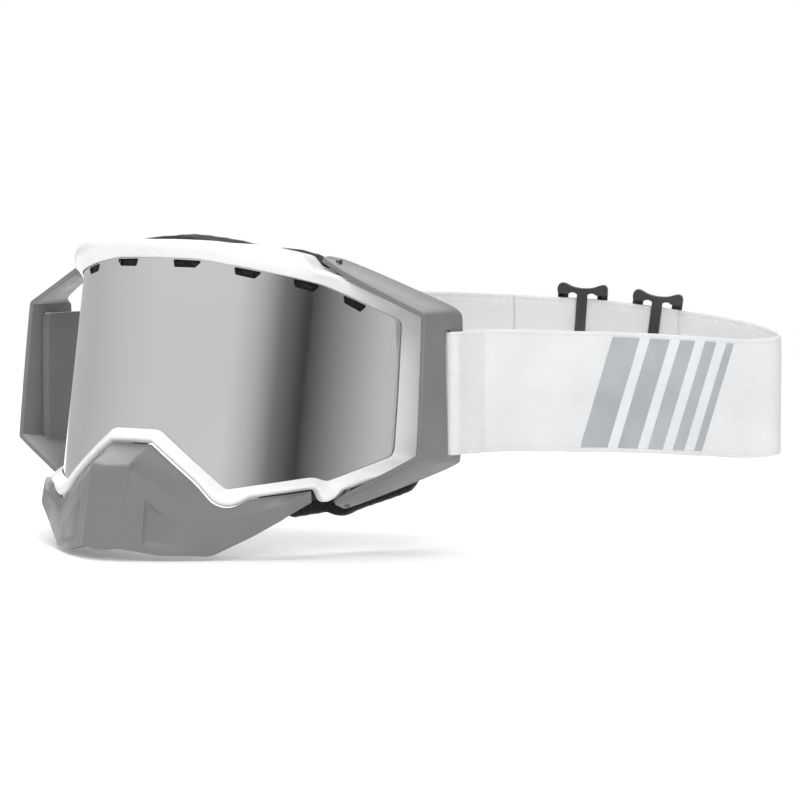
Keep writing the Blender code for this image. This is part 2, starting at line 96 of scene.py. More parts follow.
# Frame, lens and foam
LIP_HEIGHT = 4.0
LIP_RISE = 4.5
SHELL_WALL = 1.8
SHELL_DEPTH = 8.0
FACE_FRAME_DEPTH = 10.6
PIECE_GAP = 0.15
LENS_THICKNESS = 1.0
LENS_REBATE = 1.5
LENS_GRID = 2.6
LENS_VENTS = ((7.9, 19.7), (31.6, 42.1), (53.5, 64.3), (74.1, 84.6))
VENT_HEIGHT = 2.8
VENT_SLANT = 2.6
FOAM_DEPTH_FRONT = 24.0
FOAM_DEPTH_TEMPLE = 17.5
FOAM_LAYERS = (("foam_base", 0.0, 0.3), ("foam_middle", 0.3, 0.76), ("foam_face", 0.76, 1.0))
FOAM_WIDTH = 6.1
FOAM_BROW = 1.5
CHEEK_FLARE = 10.0

# Outrigger bracket, wearer's left: front and rear edge of its outer face, top to bottom
BRACKET_EDGES = (
    ((52.6, 31.5, 0.9), (50.2, 39.0, 1.0)),
    ((60.5, 31.8, -4.2), (54.5, 44.5, -0.2)),
    ((85.0, 38.2, -16.3), (88.0, 58.0, -15.6)),
    ((90.9, 39.9, -18.9), (91.4, 62.6, -18.6)),
    ((91.3, 39.6, -20.6), (91.7, 64.4, -22.2)),
    ((92.7, 34.5, -69.6), (91.9, 63.2, -72.4)),
    ((92.1, 34.1, -71.4), (91.0, 61.0, -75.2)),
    ((64.5, 27.0, -86.0), (64.8, 39.4, -88.4)),
    ((61.0, 26.5, -88.2), (57.6, 37.8, -90.8)),
)
BRACKET_THICKNESS = 2.0
BRACKET_EDGE_RADIUS = 0.55
SLOT_CENTRE = Vector((92.0, 54.9, -48.4))
SLOT_SIZE = (12.0, 5.0, 46.0)
SLOT_LEAN = radians(2.6)
PIVOT_TOP = Vector((55.9, 36.8, -5.0))
PIVOT_BOTTOM = Vector((60.6, 34.4, -86.0))
PIN_RADIUS = 1.2
PIN_SIDES = 32
PIN_SPANS = {"top": (-7.0, -0.1), "bottom": (-82.6, -89.6)}     # heights of tip and head
COVER_SECTION = (
    (86.1, 45.0), (86.1, 66.8), (87.3, 66.8), (87.3, 47.0), (89.0, 47.0), (89.0, 45.0),
)
COVER_SPAN = (-71.8, -23.6)
COVER_CORNER = 3.0
COVER_ROWS = 24

# Nose guard: s of its top edge on the frame, then its points down to its lower edge
GUARD_COLUMNS = (
    (0.0, (0.0, -28.4, -73.6), (0.0, -31.6, -88.0), (0.0, -34.6, -102.6)),
    (9.0, (7.4, -27.4, -73.0), (7.3, -30.4, -88.0), (7.2, -33.4, -101.8)),
    (22.0, (19.0, -21.6, -81.5), (20.0, -23.8, -93.0), (21.0, -25.2, -104.4)),
    (36.0, (34.6, -12.6, -93.0), (34.8, -13.2, -98.6), (35.0, -13.6, -105.0)),
    (49.0, (46.4, -3.2, -89.4), (46.5, -3.6, -93.6), (46.6, -3.9, -97.9)),
    (60.0, (55.4, 3.8, -86.2), (55.6, 3.2, -88.8), (55.8, 2.8, -91.4)),
    (67.5, (60.6, 11.6, -83.0), (61.0, 11.4, -84.4), (61.4, 11.2, -86.0)),
)
GUARD_THICKNESS = 2.0
GUARD_SEAT = 0.5
GUARD_ROWS = 44
GUARD_PITCH = 0.6

# Strap
STRAP_WIDTH = 45.0
WEB_THICKNESS = 1.2
LAYER_PITCH = 1.6
STRAP_ROUTE = (
    (93.6, 73.4, -48.4), (106.0, 94.0, -49.0), (124.0, 121.0, -50.5), (143.0, 147.0, -52.6),
    (155.0, 163.6, -54.0), (160.8, 174.0, -53.4), (156.0, 180.4, -51.6), (140.0, 177.0, -47.2),
    (112.0, 162.4, -42.6), (88.0, 150.0, -39.8), (38.0, 124.0, -37.4), (-14.0, 114.0, -38.6),
    (-58.0, 105.0, -43.0), (-84.0, 91.0, -47.0), (-92.6, 73.4, -48.4),
)
LOOP_PATH = (
    (89.8, 69.0), (88.6, 66.4), (88.3, 61.0), (88.4, 57.4), (89.3, 55.6), (90.9, 55.0),
    (92.6, 55.6), (93.5, 57.6), (93.5, 63.0), (93.9, 66.6),
)
SAMPLES_PER_SPAN = 24
TAIL_ENDS = (8, 12)             # route samples that the tail runs past the sliders
SLIDER_SAMPLES = 6              # coarser route that the CAD places its sliders on
FOLDED_END = 20.0
MERGE_LENGTH = 26.0
SLIDER_STATIONS = {"strap_slider_front": 0.643, "strap_slider_rear": 0.571}
SLIDER_LENGTH = 19.0
SLIDER_BAR = 4.0
SLIDER_BAR_DEPTH = 1.6
SLIDER_GAP = 0.4
SLIDER_END_HEIGHT = 4.2
SLIDER_PLAY = 1.3
MOTIF_START = 40.0
MOTIF_BARS = (11.0, 8.0, 6.0, 4.5, 3.0)
MOTIF_GAP = 4.2
MOTIF_SLANT = 13.0
MOTIF_HEIGHT = 41.0
MOTIF_LIFTS = (0.62, 0.86)      # a bar's two faces, out from the middle of the webbing
MOTIF_ROWS = 30

# Studio, in metres and degrees of compass direction, 0 in front of the goggles
FLOOR_RADIUS = 0.9
FLOOR_SIDES = 96
FLOOR_CLEARANCE = 0.0015
WORLD_FILL = 0.34
LAMP_DISTANCE = 1.3
LAMPS = (                       # name, azimuth, elevation, size, power, seen in gloss
    ("key", 44, 26, 0.8, 13, False), ("fill", -60, 20, 0.8, 5, False),
    ("top", 10, 74, 0.9, 6.5, True), ("back", 192, 56, 1.0, 7, True),
    ("rear", 236, 48, 1.0, 8, True),
)
# Brightness of the walls that gloss reflects, from straight behind and round: pale walls,
# and a dark flag that fades in from the front and ends on the wearer's left
WALL_STOPS = (
    (-180, 0.55), (-90, 0.55), (-35, 0.72), (20, 0.72), (60, 0.2), (90, 0.05), (105, 0.6),
    (180, 0.55),
)
CAMERA_AZIMUTH = 34.0
CAMERA_ELEVATION = 3.965
CAMERA_DISTANCE = 1.44
CAMERA_TARGET = Vector((0.0802119, 0.0097601, -0.0053174))


# ---- materials --------------------------------------------------------------------

def feed(tree, socket, value):
    """Link a node's input to an output, or give it a value."""
    if isinstance(value, bpy.types.NodeSocket):
        tree.links.new(value, socket)
    else:
        socket.default_value = value


def math_node(tree, operation, *values):
    node = tree.nodes.new("ShaderNodeMath")
    node.operation = operation
    for socket, value in zip(node.inputs, values):
        feed(tree, socket, value)
    return node.outputs[0]


def mixed(tree, factor, first, second):
    """Colour between first and second; each is a socket or (r, g, b, 1)."""
    mix = tree.nodes.new("ShaderNodeMix")
    mix.data_type = "RGBA"
    feed(tree, mix.inputs["Factor"], factor)
    colours = [socket for socket in mix.inputs if socket.type == "RGBA"]
    feed(tree, colours[0], first)
    feed(tree, colours[1], second)
    return next(socket for socket in mix.outputs if socket.type == "RGBA")


class Nodes:
    """A new Principled material, and short ways to add procedural detail to it."""

    def __init__(self, name, colour, roughness, metallic=0.0):
        self.material = bpy.data.materials.new(name)
        self.material.use_nodes = True
        self.tree = self.material.node_tree
        self.shader = self.tree.nodes["Principled BSDF"]
        self.shader.inputs["Base Color"].default_value = (*colour, 1.0)
        self.shader.inputs["Roughness"].default_value = roughness
        self.shader.inputs["Metallic"].default_value = metallic
        self.material.diffuse_color = (*colour, 1.0)
        self.height = None

    def add(self, kind, **inputs):
        node = self.tree.nodes.new(kind)
        for name, value in inputs.items():
            feed(self.tree, node.inputs[name.replace("_", " ")], value)
        return node

    def math(self, operation, *values):
        return math_node(self.tree, operation, *values)

    def place(self, output="Object"):
        return self.add("ShaderNodeTexCoord").outputs[output]

    def noise(self, scale, detail=3.0, roughness=0.5):
        return self.add("ShaderNodeTexNoise", Vector=self.place(), Scale=scale, Detail=detail,
                        Roughness=roughness).outputs["Fac"]

    def cells(self, scale):
        return self.add("ShaderNodeTexVoronoi", Vector=self.place(),
                        Scale=scale).outputs["Distance"]

    def spread(self, value, low, high, to_low=0.0, to_high=1.0):
        node = self.add("ShaderNodeMapRange", Value=value, From_Min=low, From_Max=high,
                        To_Min=to_low, To_Max=to_high)
        return node.outputs[0]

    def colour(self, factor, first, second):
        """Base colour that goes from first to second with the factor."""
        self.set("Base Color", mixed(self.tree, factor, (*first, 1.0), (*second, 1.0)))

    def roughness(self, factor, low, high):
        self.set("Roughness", self.spread(factor, 0.3, 0.7, low, high))

    def bump(self, height, distance_mm, strength=1.0):
        """Add a bump layer on top of those already there."""
        node = self.add("ShaderNodeBump", Height=height, Distance=distance_mm * MM,
                        Strength=strength)
        if self.height:
            feed(self.tree, node.inputs["Normal"], self.height)
        self.height = node.outputs[0]
        self.set("Normal", self.height)

    def set(self, name, value):
        feed(self.tree, self.shader.inputs[name], value)


def moulded_plastic(name, light, dark, smooth, rough, grain_mm):
    """Moulded plastic: fine spark-eroded grain, soft cloudiness and handling marks."""
    made = Nodes(name, light, smooth)
    made.colour(made.spread(made.noise(45.0, 4.0), 0.35, 0.7), light, dark)
    made.roughness(made.noise(160.0, 5.0), smooth, rough)
    made.bump(made.noise(2600.0, 2.0), grain_mm)
    made.bump(made.noise(90.0, 2.0), grain_mm * 1.5, 0.3)
    return made


def white_plastic():
    made = moulded_plastic("white_plastic", (0.69, 0.70, 0.71), (0.65, 0.66, 0.67),
                           0.26, 0.38, 0.012)
    made.set("Subsurface Weight", 0.06)
    made.set("Subsurface Radius", (0.002, 0.002, 0.002))
    made.set("Coat Weight", 0.15)
    made.set("Coat Roughness", 0.25)
    return made.material


def grey_plastic():
    return moulded_plastic("grey_plastic", (0.15, 0.149, 0.146), (0.134, 0.133, 0.131),
                           0.30, 0.42, 0.02).material


def black_plastic():
    return moulded_plastic("black_plastic", (0.02, 0.02, 0.021), (0.034, 0.034, 0.036),
                           0.34, 0.5, 0.02).material


def pale_rubber():
    return moulded_plastic("pale_rubber", (0.66, 0.665, 0.67), (0.58, 0.585, 0.59),
                           0.5, 0.65, 0.03).material


def mirror_coating():
    """Silver mirror coating: a bright film with a faint cast and wiping marks."""
    made = Nodes("mirror_coating", (0.80, 0.79, 0.80), 0.1, 1.0)
    made.colour(made.spread(made.noise(12.0, 2.0), 0.4, 0.65), (0.80, 0.795, 0.80),
                (0.765, 0.755, 0.765))
    made.roughness(made.noise(220.0, 4.0), 0.08, 0.11)
    return made.material


def open_foam(name, cell_scale, colour, pore_shade_colour):
    """Open-cell foam: matte cell walls round pores that the bump sinks in, painted dark as
    shade.
    """
    made = Nodes(name, colour, 0.95)
    pores = made.cells(cell_scale)
    # Painted shade: the pore hollows take the dark colour, the cell walls keep the foam's own
    made.colour(made.spread(pores, 0.15, 0.6), pore_shade_colour, colour)
    made.bump(pores, 0.35, 0.9)
    made.bump(made.noise(260.0, 3.0), 0.3, 0.4)
    made.set("Sheen Weight", 0.05)
    made.set("Specular IOR Level", 0.2)
    return made.material


def fleece():
    """Brushed fleece on the foam's face: short nap that catches light at its edges, painted
    lighter where it stands up and darker in its hollows.
    """
    made = Nodes("fleece", (0.03, 0.03, 0.032), 0.95)
    nap = made.noise(1900.0, 6.0, 0.7)
    # Painted light and shade: the nap that raises the bump also makes its crests lighter and
    # its hollows darker
    made.colour(made.spread(nap, 0.35, 0.7), (0.014, 0.014, 0.015), (0.05, 0.05, 0.054))
    made.bump(nap, 0.3, 0.9)
    made.bump(made.noise(120.0, 3.0), 0.4, 0.4)
    made.set("Sheen Weight", 0.5)
    made.set("Sheen Roughness", 0.5)
    return made.material


def elastic_web(name, light, shade):
    """Woven elastic: fine ribs along it, picks across it, and a sewn line near each edge; the
    weave's valleys are painted darker as shade.
    """
    made = Nodes(name, light, 0.8)
    uv = made.add("ShaderNodeSeparateXYZ", Vector=made.place("UV"))
    along, across = uv.outputs[0], uv.outputs[1]

    def waves(coordinate, pitch_mm, shift=0.0):
        turns = made.math("MULTIPLY_ADD", coordinate, 2 * pi * UV_MM / pitch_mm, shift)
        return made.spread(made.math("SINE", turns), -1.0, 1.0)

    ribs = waves(across, 0.62)
    picks = waves(along, 0.46)
    weave = made.math("MULTIPLY", made.math("POWER", ribs, 0.7), made.math("POWER", picks, 0.5))
    edge = made.math("ABSOLUTE", made.math("SUBTRACT", across, 0.5 * STRAP_WIDTH / UV_MM))
    sewn_at = (0.5 * STRAP_WIDTH - 1.7) / UV_MM
    near = made.math("ABSOLUTE", made.math("SUBTRACT", edge, sewn_at))
    line = made.spread(near, 0.25 / UV_MM, 0.55 / UV_MM, 1.0, 0.0)
    thread = made.math("MULTIPLY", line, made.math("POWER", waves(along, 2.1), 0.5))
    cloud = made.spread(made.noise(38.0, 5.0, 0.6), 0.36, 0.68)
    # Painted shade: the weave's low threads are coloured darker, on top of a random cloudy
    # mottle; the sewn line is coloured darker too
    tone = made.math("MULTIPLY_ADD", weave, -0.45, made.math("MULTIPLY_ADD", cloud, 0.55, 0.4))
    tone = made.math("MULTIPLY_ADD", line, 0.18, tone)
    made.colour(tone, light, shade)
    made.bump(weave, 0.16, 0.75)
    made.bump(made.math("MULTIPLY_ADD", line, -0.7, thread), 0.22, 0.7)
    made.bump(made.noise(30.0, 3.0), 0.8, 0.25)
    made.set("Sheen Weight", 0.25)
    made.set("Sheen Roughness", 0.4)
    return made.material


def printed_motif():
    """Raised silicone print with the weave just showing through it."""
    made = Nodes("printed_motif", (0.34, 0.365, 0.375), 0.5)
    made.colour(made.spread(made.noise(60.0, 4.0), 0.35, 0.7), (0.345, 0.37, 0.38),
                (0.295, 0.318, 0.328))
    made.roughness(made.noise(300.0, 4.0), 0.42, 0.6)
    made.bump(made.noise(1500.0, 3.0), 0.05, 0.6)
    return made.material


def pin_steel():
    """Turned steel: fine rings round the pin and a little wear."""
    made = Nodes("pin_steel", (0.16, 0.16, 0.162), 0.4, 1.0)
    made.roughness(made.noise(700.0, 4.0), 0.22, 0.4)
    made.bump(made.noise(1600.0, 2.0), 0.01, 0.6)
    return made.material


UV_MM = 100.0                   # one unit of a strap's UV map, in millimetres
WHITE_PLASTIC = white_plastic()
GREY_PLASTIC = grey_plastic()
BLACK_PLASTIC = black_plastic()
PALE_RUBBER = pale_rubber()
MIRROR = mirror_coating()
FLEECE = fleece()
# Each foam's second colour is painted shade for its pores
COARSE_FOAM = open_foam("coarse_foam", 900.0, (0.018, 0.018, 0.019), (0.003, 0.003, 0.003))
FINE_FOAM = open_foam("fine_foam", 1500.0, (0.05, 0.05, 0.053), (0.010, 0.010, 0.011))
ELASTIC = elastic_web("elastic_web", (0.70, 0.70, 0.71), (0.60, 0.605, 0.615))
PRINT = printed_motif()
STEEL = pin_steel()


# ---- mesh helpers -----------------------------------------------------------------

def placed(name, data):
    """New object in the scene that holds the data."""
    made = bpy.data.objects.new(name, data)
    bpy.context.scene.collection.objects.link(made)
    return made


def add_piece(name, vertices, faces, finish, body, stands_for=(), smooth=35.0):
    """Make a piece from points in millimetres, riding on a body unless that is None."""
    mesh = bpy.data.meshes.new(name)
    mesh.from_pydata([(Vector(point) - FACE_CENTRE) * MM for point in vertices], [], faces)
    work = bmesh.new()
    work.from_mesh(mesh)
    bmesh.ops.recalc_face_normals(work, faces=work.faces)
    work.to_mesh(mesh)
    work.free()
    mesh.materials.append(finish)
    mesh.shade_smooth()
    mesh.set_sharp_from_angle(angle=radians(smooth))
    made = placed(name, mesh)
    if body:
        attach(made, body)
    if stands_for:
        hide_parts(*stands_for)
    return made


def boolean(obj, operation, other):
    modifier = obj.modifiers.new(other.name, "BOOLEAN")
    modifier.operation = operation
    modifier.object = other


def apply_modifiers(obj):
    """Keep the evaluated mesh and drop the modifiers and their cutters."""
    cutters = [modifier.object for modifier in obj.modifiers if modifier.type == "BOOLEAN"]
    evaluated = obj.evaluated_get(bpy.context.evaluated_depsgraph_get())
    mesh = bpy.data.meshes.new_from_object(evaluated)
    obj.modifiers.clear()
    obj.data = mesh
    for cutter in cutters:
        bpy.data.objects.remove(cutter)


def soften_edges(obj, width_mm, angle=40.0, segments=3):
    bevel = obj.modifiers.new("edges", "BEVEL")
    bevel.width = width_mm * MM
    bevel.segments = segments
    bevel.limit_method = "ANGLE"
    bevel.angle_limit = radians(angle)
    bevel.harden_normals = True


def tube_faces(stations, around, closed):
    """Quads between successive rings of points, with the ends filled if it is open."""
    faces = []
    for i in range(stations if closed else stations - 1):
        k = (i + 1) % stations
        for j in range(around):
            m = (j + 1) % around
            faces.append((i * around + j, k * around + j, k * around + m, i * around + m))
    if not closed:
        last = (stations - 1) * around
        faces.append(tuple(range(around)))
        faces.append(tuple(range(last + around - 1, last - 1, -1)))
    return faces


def tube(name, sections, finish, body, stands_for=(), smooth=35.0):
    """Closed piece through a list of sections, each a list of as many points."""
    points = [point for section in sections for point in section]
    faces = tube_faces(len(sections), len(sections[0]), False)
    return add_piece(name, points, faces, finish, body, stands_for, smooth)


def grid_faces(columns, rows, start=0):
    """Quads of a grid whose points go down each column in turn."""
    deep = rows + 1
    corners = [start + i * deep + j for i in range(columns) for j in range(rows)]
    return [(a, a + 1, a + deep + 1, a + deep) for a in corners]


def chaikin(points, times, closed=False):
    """Round a line's corners by cutting them; the ends of an open line stay."""
    line = [Vector(point) for point in points]
    for _ in range(times):
        result = [] if closed else [line[0]]
        pairs = list(zip(line, line[1:] + line[:1])) if closed else list(zip(line, line[1:]))
        for before, after in pairs:
            result += [before.lerp(after, 0.25), before.lerp(after, 0.75)]
        line = result if closed else result + [line[-1]]
    return line


def lengths_along(route):
    lengths = [0.0]
    for before, after in zip(route, route[1:]):
        lengths.append(lengths[-1] + (after - before).length)
    return lengths


def resampled(line, pieces):
    """The same line with evenly spaced points."""
    lengths = lengths_along(line)
    result = []
    index = 0
    for step in range(pieces + 1):
        target = lengths[-1] * step / pieces
        while index < len(line) - 2 and lengths[index + 1] < target:
            index += 1
        span = max(1e-9, lengths[index + 1] - lengths[index])
        result.append(line[index].lerp(line[index + 1], (target - lengths[index]) / span))
    return result


def rounded_rectangle(width, height, radius, steps=3):
    """Points round a rectangle from (0, 0) to (width, height)."""
    points = []
    centres = ((width - radius, height - radius, 0), (radius, height - radius, 1),
               (radius, radius, 2), (width - radius, radius, 3))
    for x, y, quarter in centres:
        for step in range(steps + 1):
            angle = (quarter + step / steps) * pi / 2
            points.append((x + radius * cos(angle), y + radius * sin(angle)))
    return points


# ---- the lens surface -------------------------------------------------------------

def profile(s):
    """Point and heading of the lens seen from above, at s along it from the centre."""
    side = -1.0 if s < 0 else 1.0
    left = abs(s)
    x = y = heading = 0.0
    arcs = ((NOSE_ARC_END, NOSE_RADIUS), (CHEEK_ARC_END - NOSE_ARC_END, CHEEK_RADIUS),
            (left, TEMPLE_RADIUS))
    for length, radius in arcs:
        step = min(left, length)
        turned = heading + step / radius
        x += radius * (sin(turned) - sin(heading))
        y += radius * (cos(heading) - cos(turned))
        heading = turned
        left -= step
    return side * x, y, side * heading


def surface(s, v, d=0.0, b=0.0):
    """Point in space at s, v on the lens, standing d out from it and b back from it."""
    x, y, heading = profile(s)
    x += d * sin(heading)
    y -= d * cos(heading)
    point = Vector((x, y * cos(LENS_LEAN) + v * sin(LENS_LEAN),
                    v * cos(LENS_LEAN) - y * sin(LENS_LEAN)))
    back = Vector((-DEPTH_TURN * sin(heading), 1 + DEPTH_TURN * cos(heading), 0.0))
    return point + b * back.normalized()


def surface_normal(s):
    heading = profile(s)[2]
    return Vector((sin(heading), -cos(heading) * cos(LENS_LEAN), cos(heading) * sin(LENS_LEAN)))


def rounded_outline(corners):
    """Closed outline with each (s, v, radius) corner rounded."""
    count = len(corners)
    points = []
    for index, (s, v, radius) in enumerate(corners):
        here = Vector((s, v))
        before = Vector(corners[index - 1][:2]) - here
        after = Vector(corners[(index + 1) % count][:2]) - here
        turn = pi - before.angle(after)
        reach = min(radius * tan(turn / 2), 0.45 * before.length, 0.45 * after.length)
        start = here + before.normalized() * reach
        end = here + after.normalized() * reach
        pieces = max(2, ceil(turn / ARC_PITCH))
        for step in range(pieces + 1):
            t = step / pieces
            points.append(start * (1 - t) ** 2 + here * 2 * t * (1 - t) + end * t ** 2)
    spaced = []
    for index, point in enumerate(points):
        after = points[(index + 1) % len(points)]
        pieces = max(1, ceil((after - point).length / STATION_PITCH))
        spaced += [point.lerp(after, step / pieces) for step in range(pieces)]
    return spaced


def outward(outline):
    """Outward direction at each point of a clockwise outline."""
    directions = []
    for index, point in enumerate(outline):
        before = (point - outline[index - 1]).normalized()
        after = (outline[(index + 1) % len(outline)] - point).normalized()
        along = (before + after).normalized()
        stretch = 1 / max(0.75, before.dot(along))
        directions.append(Vector((-along.y, along.x)) * stretch)
    return directions


def ring(name, outline, section, rounds, finish, stands_for):
    """Closed ring: section(s, v, n) gives its (w, d, b) corners, which are then rounded."""
    vertices = []
    for point, normal in zip(outline, outward(outline)):
        for w, d, b in chaikin(section(point, normal), rounds, closed=True):
            vertices.append(surface(point.x + normal.x * w, point.y + normal.y * w, d, b))
    around = len(vertices) // len(outline)
    faces = tube_faces(len(outline), around, True)
    return add_piece(name, vertices, faces, finish, "root", (stands_for,), smooth=50)


# ---- frame ------------------------------------------------------------------------

def bump(value, centre, reach):
    return exp(-((value - centre) / reach) ** 2)


def slope(value, start, end):
    """Straight rise from 0 at start to 1 at end."""
    return min(1.0, max(0.0, (value - start) / (end - start)))


def ramp(value, start, end):
    """The same rise with soft ends."""
    t = slope(value, start, end)
    return t * t * (3 - 2 * t)


def lip_width(point, normal):
    """Width of the frame's front border at a station of the opening."""
    s = abs(point.x)
    top = 6.3 + 1.9 * ramp(s, 20, 40) - 3.1 * ramp(s, 55, 61)
    side = 5.1 + 2.1 * ramp(-point.y, 14, 26)
    nose = 4.9 + 1.2 * bump(s, 37, 5)
    cheek = 4.0 + 3.6 * bump(s, 73.5, 3.0) + 1.0 * ramp(s, 76, 82) + 2.2 * ramp(s, 97, 104)
    below = nose + (cheek - nose) * ramp(s, 41, 45)
    outside = side if s > 90 else below
    low = outside + (below - outside) * ramp(-normal.y, 0.3, 0.6)
    return low + (top - low) * ramp(normal.y, 0.3, 0.6)


def shell_section(point, normal):
    w = lip_width(point, normal)
    crown = min(2.2, w / 3)
    rise = ramp(abs(point.x), 84, 100)
    height = LIP_HEIGHT + LIP_RISE * rise
    trim = bump(abs(point.x), 61, 7) * max(0, normal.y)     # room for the bracket's swing
    return ((-0.2, 0.1, 0), (-0.2, 0.9, 0), (0.5, 1.5, 0), (crown, 2.8 + 1.5 * rise, 0),
            (0.62 * w + 0.4 * rise - 0.6 * trim, height + 0.1, 0),
            (w - 0.8 - 1.3 * trim, height - 0.1 - 0.5 * rise, 0),
            (w - 0.1 - 0.7 * trim, 2.9 + 2.2 * rise - 0.3 * trim, 0),
            (w - 0.2 * trim, 1.6 - 0.8 * trim, 0), (w, 0.4, 0),
            (w, 0, SHELL_DEPTH - 0.4), (w, 0, SHELL_DEPTH), (w - SHELL_WALL, 0, SHELL_DEPTH),
            (w - SHELL_WALL, 0, 1.0), (w - SHELL_WALL, 0.2, 0))


def inner_frame_section(point, normal):
    w = lip_width(point, normal)
    wall = w - SHELL_WALL - PIECE_GAP
    lap = min(0.4, wall - 0.6)
    rim = SHELL_DEPTH + PIECE_GAP
    return ((lap, 0, 2.4), (wall, 0, 2.4), (wall, 0, rim), (w, 0, rim), (w, 0, rim + 0.6),
            (w, 0, FACE_FRAME_DEPTH), (w - 0.6, 0, FACE_FRAME_DEPTH),
            (wall - 1.8, 0, FACE_FRAME_DEPTH), (wall - 1.8, 0, 4.2), (wall - 2.4, 0, 4.0))


def frame_pieces(outline):
    ring("frame_border", outline, shell_section, 2, WHITE_PLASTIC, "frame_shell")
    ring("inner_frame", outline, inner_frame_section, 1, PALE_RUBBER,
         "face_frame")


# ---- lens -------------------------------------------------------------------------

def opening_top(s):
    """Height of the opening's top edge at s."""
    corners = [(0.0, 0.8)] + [corner[:2] for corner in OPENING_HALF[:4]]
    for (s0, v0), (s1, v1) in zip(corners, corners[1:]):
        if abs(s) <= s1:
            return v0 + (v1 - v0) * (abs(s) - s0) / (s1 - s0)
    return corners[-1][1]


def vent_outline(near, far, side):
    corners = ((near, opening_top(near) - 0.6), (far, opening_top(far) - 0.6),
               (far - VENT_SLANT, opening_top(far) - VENT_HEIGHT - 0.4),
               (near + 0.8, opening_top(near) - VENT_HEIGHT - 0.6))
    return rounded_outline([(side * s, v, 0.7) for s, v in corners])


def holds(outline, point):
    """True if a closed outline goes round the point."""
    inside = False
    for a, b in zip(outline, outline[1:] + outline[:1]):
        if (a.y > point.y) != (b.y > point.y):
            if point.x < a.x + (b.x - a.x) * (point.y - a.y) / (b.y - a.y):
                inside = not inside
    return inside


def clear_of(loops, point, distance):
    return all((point - other).length > distance for loop in loops for other in loop)


def lens_mesh(outline):
    """Flat triangles of the lens, with its slots left out, as points and triples."""
    edge = [point + normal * LENS_REBATE for point, normal in zip(outline, outward(outline))]
    vents = [vent_outline(near, far, side) for near, far in LENS_VENTS for side in (1, -1)]
    loops = [edge] + vents
    points, edges = [], []
    for loop in loops:
        start = len(points)
        points += loop
        edges += [(start + i, start + (i + 1) % len(loop)) for i in range(len(loop))]
    columns = int(max(point.x for point in edge) // LENS_GRID)
    rows = int(-min(point.y for point in edge) // LENS_GRID)
    for i in range(-columns, columns + 1):
        for j in range(rows + 1):
            place = Vector((i * LENS_GRID, -j * LENS_GRID))
            if holds(edge, place) and clear_of(loops, place, 0.5 * LENS_GRID):
                points.append(place)
    flat, _, triangles, *_ = delaunay_2d_cdt(points, edges, [], 0, 1e-5)

    def kept(triangle):
        centre = (flat[triangle[0]] + flat[triangle[1]] + flat[triangle[2]]) / 3
        return holds(edge, centre) and not any(holds(vent, centre) for vent in vents)
    return flat, [triangle for triangle in triangles if kept(triangle)]


def lens(outline):
    """Lens of even thickness whose shading follows the exact curve."""
    flat, triangles = lens_mesh(outline)
    count = len(flat)
    front = [surface(p.x, p.y, -0.1) for p in flat]
    back = [surface(p.x, p.y, -0.1 - LENS_THICKNESS) for p in flat]
    faces = [tuple(t) for t in triangles]
    faces += [tuple(i + count for i in reversed(t)) for t in triangles]
    uses = {}
    for t in triangles:
        for a, b in zip(t, t[1:] + t[:1]):
            key = (min(a, b), max(a, b))
            uses[key] = uses.get(key, 0) + 1
    faces += [(a, b, b + count, a + count) for (a, b), times in uses.items() if times == 1]
    used = sorted({i for face in faces for i in face})
    renumbered = {old: new for new, old in enumerate(used)}
    vertices = front + back
    visor = add_piece("mirror_visor", [vertices[i] for i in used],
                      [tuple(renumbered[i] for i in face) for face in faces], MIRROR, "root",
                      ("lens",))
    directions = [surface_normal(flat[i % count].x) for i in used]
    mesh = visor.data
    normals = []
    for face in mesh.polygons:
        for index in face.vertices:
            true_normal = directions[index]
            facing = face.normal.dot(true_normal)
            if abs(facing) < 0.7:
                normals.append(face.normal)
            else:
                normals.append(true_normal if facing > 0 else -true_normal)
    mesh.normals_split_custom_set(normals)


def vent_foam():
    """Strip of open foam behind the slots along the lens's top edge."""
    sections = []
    for step in range(-60, 61):
        s = 1.5 * step
        top = opening_top(s)
        corners = ((top + 0.1, -1.4), (top + 0.1, -4.6),
                   (top - VENT_HEIGHT - 1.6, -4.6), (top - VENT_HEIGHT - 1.6, -1.4))
        rounded = chaikin([(v, d, 0) for v, d in corners], 2, closed=True)
        sections.append([surface(s, v, d) for v, d, _ in rounded])
    tube("vent_mesh", sections, COARSE_FOAM, "root", ("vent_foam",))


# ---- face foam --------------------------------------------------------------------

def foam_total(point):
    """Depth of the foam's face side behind the lens surface."""
    across = min(1, abs(point.x) / 105)
    return FOAM_DEPTH_FRONT + (FOAM_DEPTH_TEMPLE - FOAM_DEPTH_FRONT) * across ** 2


def foam_width(point, normal):
    """Foam's outer width, and how much wider it grows under the cheeks."""
    s = abs(point.x)
    cheek = max(0, -normal.y) * ramp(s, 38, 52)
    brow = max(0, normal.y) * (bump(s, 0, 16) + ramp(s, 32, 46) - ramp(s, 52, 62))
    above = FOAM_WIDTH - (FOAM_WIDTH - 5.1) * ramp(s, 82, 92)
    below = 4.0 + 1.0 * ramp(s, 76, 100)
    width = above + (below - above) * ramp(-normal.y, 0.2, 0.6)
    return width + FOAM_BROW * brow, CHEEK_FLARE * cheek


